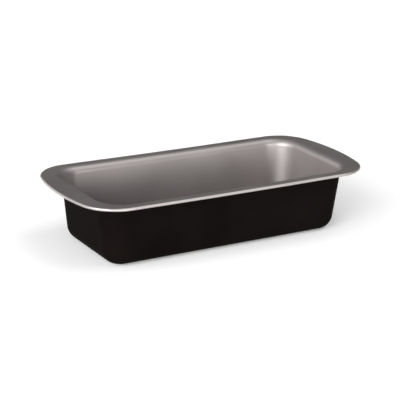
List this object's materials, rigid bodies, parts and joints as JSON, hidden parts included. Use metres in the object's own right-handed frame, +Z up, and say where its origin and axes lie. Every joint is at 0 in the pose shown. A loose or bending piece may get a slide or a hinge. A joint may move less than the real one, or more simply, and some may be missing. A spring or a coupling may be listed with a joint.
{
  "type": "loaf pan",
  "caption": "Rectangular pressed-steel loaf pan with drafted walls, a flat flange widening into bowed end grips, and a rolled edge; grey inside, black outside.",
  "frame": {"origin": "centre of the underside of the base, where the pan rests", "axes": "+X along the pan's length, +Y across its width, +Z up out of the open mouth"},
  "size_m": [0.3, 0.138, 0.062],
  "materials": {
    "bare_steel": "satin",
    "grey_release_coat": "satin",
    "black_coat": "satin",
    "wire_steel": "satin"
  },
  "bodies": {
    "root": {"steel_pan": "bare_steel", "inner_coating": "grey_release_coat", "outer_coating": "black_coat", "rim_wire": "wire_steel"}
  },
  "joints": []
}
